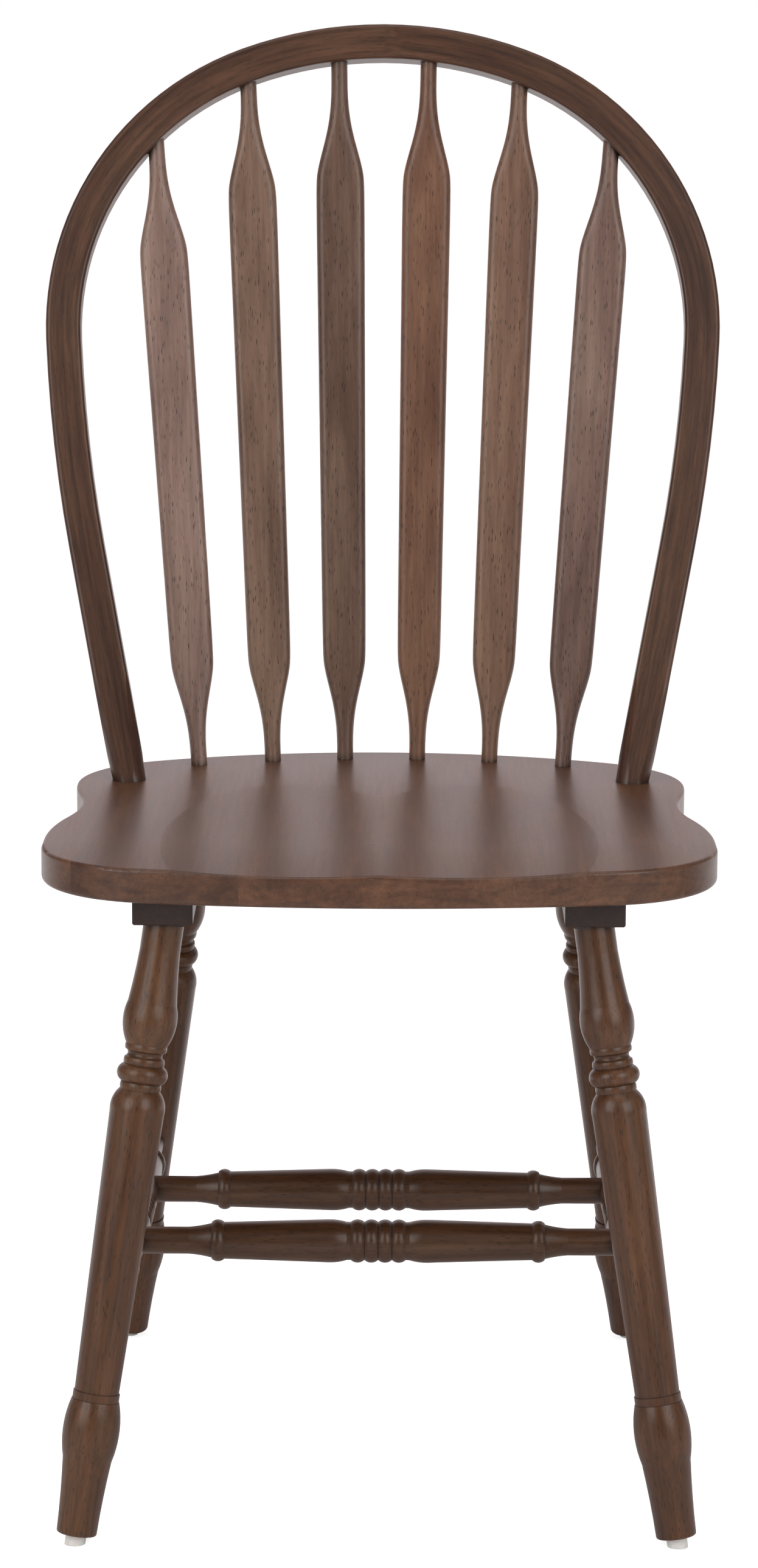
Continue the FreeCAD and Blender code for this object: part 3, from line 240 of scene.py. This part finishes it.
# The hollows' depth, middle and half width and length, and where the front begins to roll down
HOLLOW_DEEP = 0.0037
HOLLOW_PLACE = (0.060, -0.12394)
HOLLOW_REACH = (0.085, 0.200)
RIDGE_SOFTNESS = 0.7
RIM_SOFTNESS = 0.5
ROLL_START = -0.125
ROLL_CURVE = 0.5


def sanded_hollows(tree):
    """The seat's normal with the rims of its two hollows, and the ridge between them, sanded
    soft over about 15 mm, and with the last 110 mm rolled down a little to the front edge."""
    here = add(tree, "ShaderNodeTexCoord", {})
    depths = []
    for side in (-1, 1):
        away = add(tree, "ShaderNodeVectorMath",
                   {0: here.outputs["Object"],
                    1: (1 / HOLLOW_REACH[0], 1 / HOLLOW_REACH[1], 0.0),
                    2: (-side * HOLLOW_PLACE[0] / HOLLOW_REACH[0],
                        -HOLLOW_PLACE[1] / HOLLOW_REACH[1], 0.0)}, operation="MULTIPLY_ADD")
        square = add(tree, "ShaderNodeVectorMath", {0: away.outputs[0], 1: away.outputs[0]},
                     operation="DOT_PRODUCT")
        depths.append(add(tree, "ShaderNodeMath", {0: 1.0, 1: square.outputs["Value"]},
                          operation="SUBTRACT").outputs[0])
    sharp = add(tree, "ShaderNodeMath", {0: depths[0], 1: depths[1]}, operation="MAXIMUM")
    sharp = add(tree, "ShaderNodeMath", {0: sharp.outputs[0], 1: 0.0}, operation="MAXIMUM")
    soft = add(tree, "ShaderNodeMath", {0: depths[0], 1: depths[1], 2: RIDGE_SOFTNESS},
               operation="SMOOTH_MAX")
    soft = add(tree, "ShaderNodeMath", {0: soft.outputs[0], 1: 0.0, 2: RIM_SOFTNESS},
               operation="SMOOTH_MAX")
    sanded = add(tree, "ShaderNodeMath", {0: sharp.outputs[0], 1: soft.outputs[0]},
                 operation="SUBTRACT")
    hollowed = add(tree, "ShaderNodeMath", {0: sanded.outputs[0], 1: HOLLOW_DEEP},
                   operation="MULTIPLY")
    place = add(tree, "ShaderNodeSeparateXYZ", {0: here.outputs["Object"]})
    ahead = add(tree, "ShaderNodeMath", {0: ROLL_START, 1: place.outputs[1]},
                operation="SUBTRACT")
    ahead = add(tree, "ShaderNodeMath", {0: ahead.outputs[0], 1: 0.0}, operation="MAXIMUM")
    rolled = add(tree, "ShaderNodeMath", {0: ahead.outputs[0], 1: 2.0}, operation="POWER")
    height = add(tree, "ShaderNodeMath", {0: rolled.outputs[0], 1: -ROLL_CURVE,
                                          2: hollowed.outputs[0]}, operation="MULTIPLY_ADD")
    return add(tree, "ShaderNodeBump", {"Height": height.outputs[0], "Strength": 1.0,
                                        "Distance": 1.0}).outputs[0]


SEAT_STAIN = "#563724"
dress("seat", stained_rubberwood("stained_rubberwood_staves", front_to_back, SEAT_STAIN,
                                 boards=staves, softened=sanded_hollows, pore_strength=0.8,
                                 roughness=0.4, coat=0.25))


# Bow. One bar steamed and bent to a hoop, square with softened edges, whittled to round tenons
# in the seat. Its grain follows the bend, so each point of the mesh is given its place along the
# hoop and across the bar.
BOW_STAIN = "#4e3222"
BOW_LEAN = math.radians(13.5)
BOW_FOOT = Vector((0.0, 0.09306, 0.45))
FOOT_SPREAD = 0.1775
TENON_DEPTH = 0.020
LEG_LENGTH = 0.1673
LEG_FLARE = math.radians(10.7)
SIDE_RADIUS = 1.076
SIDE_TURN = math.radians(7.9)
SHOULDER_RADIUS = 0.198
CROWN_RADIUS = 0.280
CROWN_OVERRUN = 0.1
HOOP_STEP = 0.001


def hoop_path():
    """Points of half the hoop in its own plane, 1 mm apart, from the tenon's end to a little past
    the crown, each with the hoop's heading there."""
    heading = LEG_FLARE
    turned = heading - SIDE_TURN
    foot = Vector((FOOT_SPREAD, 0.0))
    leg_end = foot + Vector((math.sin(heading), math.cos(heading))) * LEG_LENGTH
    side_centre = leg_end - Vector((math.cos(heading), -math.sin(heading))) * SIDE_RADIUS
    across = side_centre.x + (SIDE_RADIUS - SHOULDER_RADIUS) * math.cos(turned)
    crown_turn = math.asin(across / (CROWN_RADIUS - SHOULDER_RADIUS))
    pieces = ((TENON_DEPTH + LEG_LENGTH, 0.0),
              (SIDE_RADIUS * SIDE_TURN, 1 / SIDE_RADIUS),
              (SHOULDER_RADIUS * (math.pi / 2 + turned - crown_turn), 1 / SHOULDER_RADIUS),
              (CROWN_RADIUS * (crown_turn + CROWN_OVERRUN), 1 / CROWN_RADIUS))
    place = foot - Vector((math.sin(heading), math.cos(heading))) * TENON_DEPTH
    points = []
    for length, bend in pieces:
        for _ in range(round(length / HOOP_STEP)):
            points.append((place.copy(), heading))
            heading -= bend * HOOP_STEP / 2
            place += Vector((math.sin(heading), math.cos(heading))) * HOOP_STEP
            heading -= bend * HOOP_STEP / 2
    return points


path = hoop_path()
finder = KDTree(len(path))
for index, (place, heading) in enumerate(path):
    finder.insert((place.x, place.y, 0), index)
finder.balance()
bow_up = Vector((0, math.sin(BOW_LEAN), math.cos(BOW_LEAN)))
bow_back = Vector((0, math.cos(BOW_LEAN), -math.sin(BOW_LEAN)))
bow_mesh = nodes["bow"].data
hoop_place = bow_mesh.attributes.new("hoop_place", "FLOAT_VECTOR", "POINT")
for vertex in bow_mesh.vertices:
    away = vertex.co - BOW_FOOT
    flat = Vector((abs(away.x), away.dot(bow_up), 0))
    _, index, _ = finder.find(flat)
    place, heading = path[index]
    ahead = (flat.x - place.x) * math.sin(heading) + (flat.y - place.y) * math.cos(heading)
    out = (flat.x - place.x) * math.cos(heading) - (flat.y - place.y) * math.sin(heading)
    run = len(path) * HOOP_STEP - index * HOOP_STEP - ahead
    hoop_place.data[vertex.index].vector = (
        out * 1000, away.dot(bow_back) * 1000, math.copysign(run * 1000, away.x))


def round_the_hoop(tree):
    """Fibre coordinates in millimetres for the bow."""
    return add(tree, "ShaderNodeAttribute", {}, attribute_name="hoop_place").outputs["Vector"]


dress("bow", stained_rubberwood("stained_rubberwood_bent", round_the_hoop, BOW_STAIN,
                                streakiness=2.2, pore_strength=0.6, coat=0.1))


# Spindles. Six round sticks flattened to arrow-shaped paddles, glued into the seat and the bow.
# The paddles are cut with their grain upright and take the stain a little unevenly. Their colours
# also carry painted sheen where a paddle faces a soft box, paler and greyer on spindle 1 most.
SPINDLE_SPLAY = 0.0115
SPINDLE_LEAN = 0.095
PADDLE_STAINS_AND_SHEEN = ("#8a6f63", "#7a5f4f", "#6b5244", "#755340", "#785a49", "#765c51")
for number, stain in enumerate(PADDLE_STAINS_AND_SHEEN, 1):
    sideways = (number - 3.5) * SPINDLE_SPLAY
    grain = along((sideways, SPINDLE_LEAN, 1.0), (number * 71.0, 13.0, 29.0))
    dress(f"spindle_{number}",
          stained_rubberwood(f"stained_rubberwood_spindle_{number}", grain, stain))


# Legs. Four turned legs of the same wood, splayed both ways and bolted up into the cleats. Each
# has a vase and rings, a long plain shaft, and a small bulb above the foot.
LEG_STAIN = "#54351f"
LEG_SPLAYS = {"front": math.radians(8.1), "rear": math.radians(7.2)}
LEG_RAKES = {"front": math.radians(-7.8), "rear": math.radians(12.1)}
for number, (end, side, word) in enumerate((("front", -1, "left"), ("front", 1, "right"),
                                            ("rear", -1, "left"), ("rear", 1, "right"))):
    leg_line = (-side * math.tan(LEG_SPLAYS[end]), -math.tan(LEG_RAKES[end]), 1.0)
    # Each leg's grain is moved along, so that no two are alike
    grain = along(leg_line, (number * 83.0, number * 37.0, number * 211.0))
    dress(f"{end}_{word}_leg",
          stained_rubberwood(f"stained_rubberwood_{end}_{word}_leg", grain, LEG_STAIN,
                             streakiness=1.7, roughness=0.36))


# Cleats. Two planed bars of the same wood, left dull and screwed up under the seat. Their colour
# is the wood's stain with painted shade from the seat above, which makes them nearly black.
# Each carries the two legs of its side.
# The wood's stain darkened with painted shade from the seat
CLEAT_STAIN_AND_SHADE = "#30201a"
for number, word in enumerate(("left", "right")):
    grain = along((0.0, 1.0, 0.0), (17.0 + 90.0 * number, 5.0, 60.0))
    dress(f"{word}_seat_cleat",
          stained_rubberwood(f"stained_rubberwood_{word}_cleat", grain, CLEAT_STAIN_AND_SHADE,
                             roughness=0.5))


# Stretchers. Four turned rails of the same wood with rings at the middle, glued into the legs and
# into one another: one on each side from leg to leg, and two across between those.
RAIL_STAIN = "#4b301d"
for number, (name, direction) in enumerate((("left_side_stretcher", (-0.02, 1.0, 0.0)),
                                            ("right_side_stretcher", (0.02, 1.0, 0.0)),
                                            ("front_cross_stretcher", (1.0, 0.0, 0.0)),
                                            ("rear_cross_stretcher", (1.0, 0.0, 0.0)))):
    grain = along(direction, (41.0 * number, 19.0 * number, 130.0 * number))
    dress(name, stained_rubberwood(f"stained_rubberwood_{name}", grain, RAIL_STAIN,
                                   streakiness=1.4, roughness=0.36))


# Glides. Small pads of moulded white nylon, each nailed under a foot. Light passes a little way
# into them, and the floor leaves them faintly scuffed.
NYLON_WHITE = "#f4f1ec"
SCUFF_GREY = "#d6d0c6"
nylon, tree = blank_material("moulded_nylon")
here = add(tree, "ShaderNodeTexCoord", {})
# The eye sees milky white plastic with faint grey scuffs about 2 mm across
scuffs = add(tree, "ShaderNodeTexNoise", {"Vector": here.outputs["Object"], "Scale": 500.0,
                                          "Detail": 3.0})
soiled = add(tree, "ShaderNodeMapRange", {"Value": scuffs.outputs["Fac"], "From Min": 0.4,
                                          "From Max": 0.75, "To Min": 0.0, "To Max": 0.5})
pale = blend(tree, soiled.outputs[0], linear(NYLON_WHITE), linear(SCUFF_GREY))
scuffed = add(tree, "ShaderNodeBump", {"Height": scuffs.outputs["Fac"], "Strength": 0.2,
                                       "Distance": 0.0001})
pad = add(tree, "ShaderNodeBsdfPrincipled",
          {"Base Color": pale, "Roughness": 0.45, "IOR": 1.53, "Subsurface Weight": 0.3,
           "Subsurface Scale": 0.003, "Normal": scuffed.outputs[0]})
add(tree, "ShaderNodeOutputMaterial", {"Surface": pad.outputs[0]})
for end in ("front", "rear"):
    for word in ("left", "right"):
        dress(f"{end}_{word}_glide", nylon)


# Fixings. Screws, bolts and nails of zinc-plated steel, and threaded inserts of cast zinc alloy,
# sunk in the cleats, the legs' tops and the glides.
def plated_metal(name, pale_colour, dull_colour, roughness):
    """Bright metal with a soft cloudy plating, seen as small pale spots in their holes."""
    material, tree = blank_material(name)
    here = add(tree, "ShaderNodeTexCoord", {})
    # Plating clouds about 3 mm wide
    clouds = add(tree, "ShaderNodeTexNoise", {"Vector": here.outputs["Object"], "Scale": 330.0,
                                              "Detail": 4.0})
    colour = blend(tree, clouds.outputs["Fac"], linear(pale_colour), linear(dull_colour))
    rough = add(tree, "ShaderNodeMapRange", {"Value": clouds.outputs["Fac"],
                                             "To Min": roughness - 0.08,
                                             "To Max": roughness + 0.08})
    metal = add(tree, "ShaderNodeBsdfPrincipled",
                {"Base Color": colour, "Metallic": 1.0, "Roughness": rough.outputs[0]})
    add(tree, "ShaderNodeOutputMaterial", {"Surface": metal.outputs[0]})
    return material


zinc_plate = plated_metal("zinc_plated_steel", "#c9cbc9", "#a3a5a2", 0.34)
for name in ("glide_nails", "leg_bolts", "cleat_screws"):
    dress(name, zinc_plate)
dress("leg_inserts", plated_metal("cast_zinc_alloy", "#a9aaa8", "#84857f", 0.5))


# Floor and studio. A pale paper floor and a white surround, a dark cloth behind the camera, two
# wide soft boxes in front and one above.
FLOOR_SIZE = 40
FLOOR_MIDDLE = 10.0
BEHIND_STARTS = 0.2
BEHIND_WHOLE = 1.0
PAPER_GLOW = 0.72
bpy.ops.object.select_all(action="DESELECT")
bpy.ops.mesh.primitive_plane_add(size=FLOOR_SIZE, location=(0, FLOOR_MIDDLE, 0))
floor = bpy.context.object
floor.name = "floor"
paper, tree = blank_material("white_paper_floor")
here = add(tree, "ShaderNodeTexCoord", {})
# The eye sees plain white paper with a hardly visible tooth about 4 mm wide
tooth = add(tree, "ShaderNodeTexNoise", {"Vector": here.outputs["Object"], "Scale": 250.0})
sheet_colour = blend(tree, tooth.outputs["Fac"], linear("#f4f4f4"), linear("#f8f8f8"))
matte = add(tree, "ShaderNodeBsdfDiffuse", {"Color": sheet_colour})
# The lit paper shows white to the camera everywhere, and in reflections behind the chair
place = add(tree, "ShaderNodeSeparateXYZ", {0: here.outputs["Object"]})
behind = add(tree, "ShaderNodeMapRange", {"Value": place.outputs[1],
                                          "From Min": BEHIND_STARTS - FLOOR_MIDDLE,
                                          "From Max": BEHIND_WHOLE - FLOOR_MIDDLE})
ray = add(tree, "ShaderNodeLightPath", {})
mirrored = add(tree, "ShaderNodeMath", {0: ray.outputs["Is Glossy Ray"],
                                        1: ray.outputs["Is Transmission Ray"]},
               operation="MAXIMUM")
mirrored = add(tree, "ShaderNodeMath", {0: mirrored.outputs[0], 1: behind.outputs[0]},
               operation="MULTIPLY")
seen = add(tree, "ShaderNodeMath", {0: ray.outputs["Is Camera Ray"], 1: mirrored.outputs[0]},
           operation="MAXIMUM")
shine = add(tree, "ShaderNodeMath", {0: seen.outputs[0], 1: PAPER_GLOW}, operation="MULTIPLY")
lit = add(tree, "ShaderNodeEmission", {"Color": (1, 1, 1, 1), "Strength": shine.outputs[0]})
both = add(tree, "ShaderNodeAddShader", {0: matte.outputs[0], 1: lit.outputs[0]})
add(tree, "ShaderNodeOutputMaterial", {"Surface": both.outputs[0]})
floor.data.materials.append(paper)

world = bpy.data.worlds.new("white_surround")
bpy.context.scene.world = world
world.use_nodes = True
tree = world.node_tree
tree.nodes.clear()
# White to the camera all round. Reflections and light find it a faintly pink white behind the
# chair and grey to the sides, as in a studio with one lit backdrop.
ray = add(tree, "ShaderNodeLightPath", {})
here = add(tree, "ShaderNodeTexCoord", {})
BACKDROP_RISE = math.radians(10)
BACKDROP_REACH = (0.7, 0.9)
SIDE_GREY = 0.3
PINK_WHITE = "#fff1f3"
backdrop_middle = (0.0, math.cos(BACKDROP_RISE), math.sin(BACKDROP_RISE))
toward = add(tree, "ShaderNodeVectorMath", {0: here.outputs["Generated"], 1: backdrop_middle},
             operation="DOT_PRODUCT")
backdrop = add(tree, "ShaderNodeMapRange", {"Value": toward.outputs["Value"],
                                            "From Min": BACKDROP_REACH[0],
                                            "From Max": BACKDROP_REACH[1],
                                            "To Min": SIDE_GREY, "To Max": 1.0})
level = add(tree, "ShaderNodeMath", {0: backdrop.outputs[0], 1: ray.outputs["Is Camera Ray"]},
            operation="MAXIMUM")
tint = blend(tree, ray.outputs["Is Camera Ray"], linear(PINK_WHITE), (1, 1, 1, 1))
around = add(tree, "ShaderNodeBackground", {"Color": tint, "Strength": level.outputs[0]})
add(tree, "ShaderNodeOutputWorld", {"Surface": around.outputs[0]})

# Dark cloth hangs behind the camera, so that the chair's front mirrors a dim room
CLOTH_SIZE = 12
CLOTH_PLACE = (0, -5.2, 3)
bpy.ops.object.select_all(action="DESELECT")
bpy.ops.mesh.primitive_plane_add(size=CLOTH_SIZE, location=CLOTH_PLACE,
                                 rotation=(math.pi / 2, 0, 0))
cloth = bpy.context.object
cloth.name = "dark_cloth"
black, tree = blank_material("black_cloth")
here = add(tree, "ShaderNodeTexCoord", {})
# Black woven cloth, its weave about 5 mm wide
weave = add(tree, "ShaderNodeTexNoise", {"Vector": here.outputs["Object"], "Scale": 200.0})
cloth_colour = blend(tree, weave.outputs["Fac"], linear("#1c1c1c"), linear("#262626"))
dull = add(tree, "ShaderNodeBsdfDiffuse", {"Color": cloth_colour})
add(tree, "ShaderNodeOutputMaterial", {"Surface": dull.outputs[0]})
cloth.data.materials.append(black)
cloth.visible_camera = False


LAMP_DISTANCE = 2.6
CHAIR_MIDDLE = Vector((0, 0, 0.5))


def soft_box(name, azimuth, elevation, wide, tall, watts):
    """A lamp aimed at the chair's middle. Azimuth is to the right of the camera, in degrees."""
    lamp = bpy.data.lights.new(name, "AREA")
    lamp.shape = "RECTANGLE"
    lamp.size = wide
    lamp.size_y = tall
    lamp.energy = watts
    holder = bpy.data.objects.new(name, lamp)
    bpy.context.scene.collection.objects.link(holder)
    turn = math.radians(azimuth)
    lift = math.radians(elevation)
    back = Vector((math.sin(turn) * math.cos(lift), -math.cos(turn) * math.cos(lift),
                   math.sin(lift)))
    holder.location = CHAIR_MIDDLE + back * LAMP_DISTANCE
    holder.rotation_euler = (-back).to_track_quat("-Z", "Y").to_euler()


soft_box("left_box", -40, 22, 1.6, 2.0, 31)
soft_box("right_box", 36, 22, 1.6, 2.0, 30)
soft_box("top_box", 0, 84, 2.0, 2.0, 18)


# Camera, where the photograph was taken from, found from the chair's own outline. It looks down
# on the seat with a long lens and is turned and rolled a fraction of a degree.
CAMERA_PLACE = Vector((0.010, -3.28404, 1.0866))
CAMERA_TURN = math.radians(-0.19)
CAMERA_DIP = math.radians(10.72)
CAMERA_ROLL = math.radians(0.22)
FOCAL_PIXELS = 8000
FRAME_HEIGHT = 2576
SENSOR = 36
camera_data = bpy.data.cameras.new("photo_camera")
camera_data.lens = FOCAL_PIXELS * SENSOR / FRAME_HEIGHT
camera_data.sensor_width = SENSOR
camera = bpy.data.objects.new("photo_camera", camera_data)
bpy.context.scene.collection.objects.link(camera)
ahead = Vector((math.sin(CAMERA_TURN) * math.cos(CAMERA_DIP),
                math.cos(CAMERA_TURN) * math.cos(CAMERA_DIP), -math.sin(CAMERA_DIP)))
level_right = Vector((math.cos(CAMERA_TURN), -math.sin(CAMERA_TURN), 0))
level_up = level_right.cross(ahead)
right = level_right * math.cos(CAMERA_ROLL) + level_up * math.sin(CAMERA_ROLL)
upward = level_up * math.cos(CAMERA_ROLL) - level_right * math.sin(CAMERA_ROLL)
camera.matrix_world = Matrix((
    (right.x, upward.x, -ahead.x, CAMERA_PLACE.x),
    (right.y, upward.y, -ahead.y, CAMERA_PLACE.y),
    (right.z, upward.z, -ahead.z, CAMERA_PLACE.z),
    (0, 0, 0, 1),
))
bpy.context.scene.camera = camera
bpy.context.scene.view_settings.view_transform = "Standard"
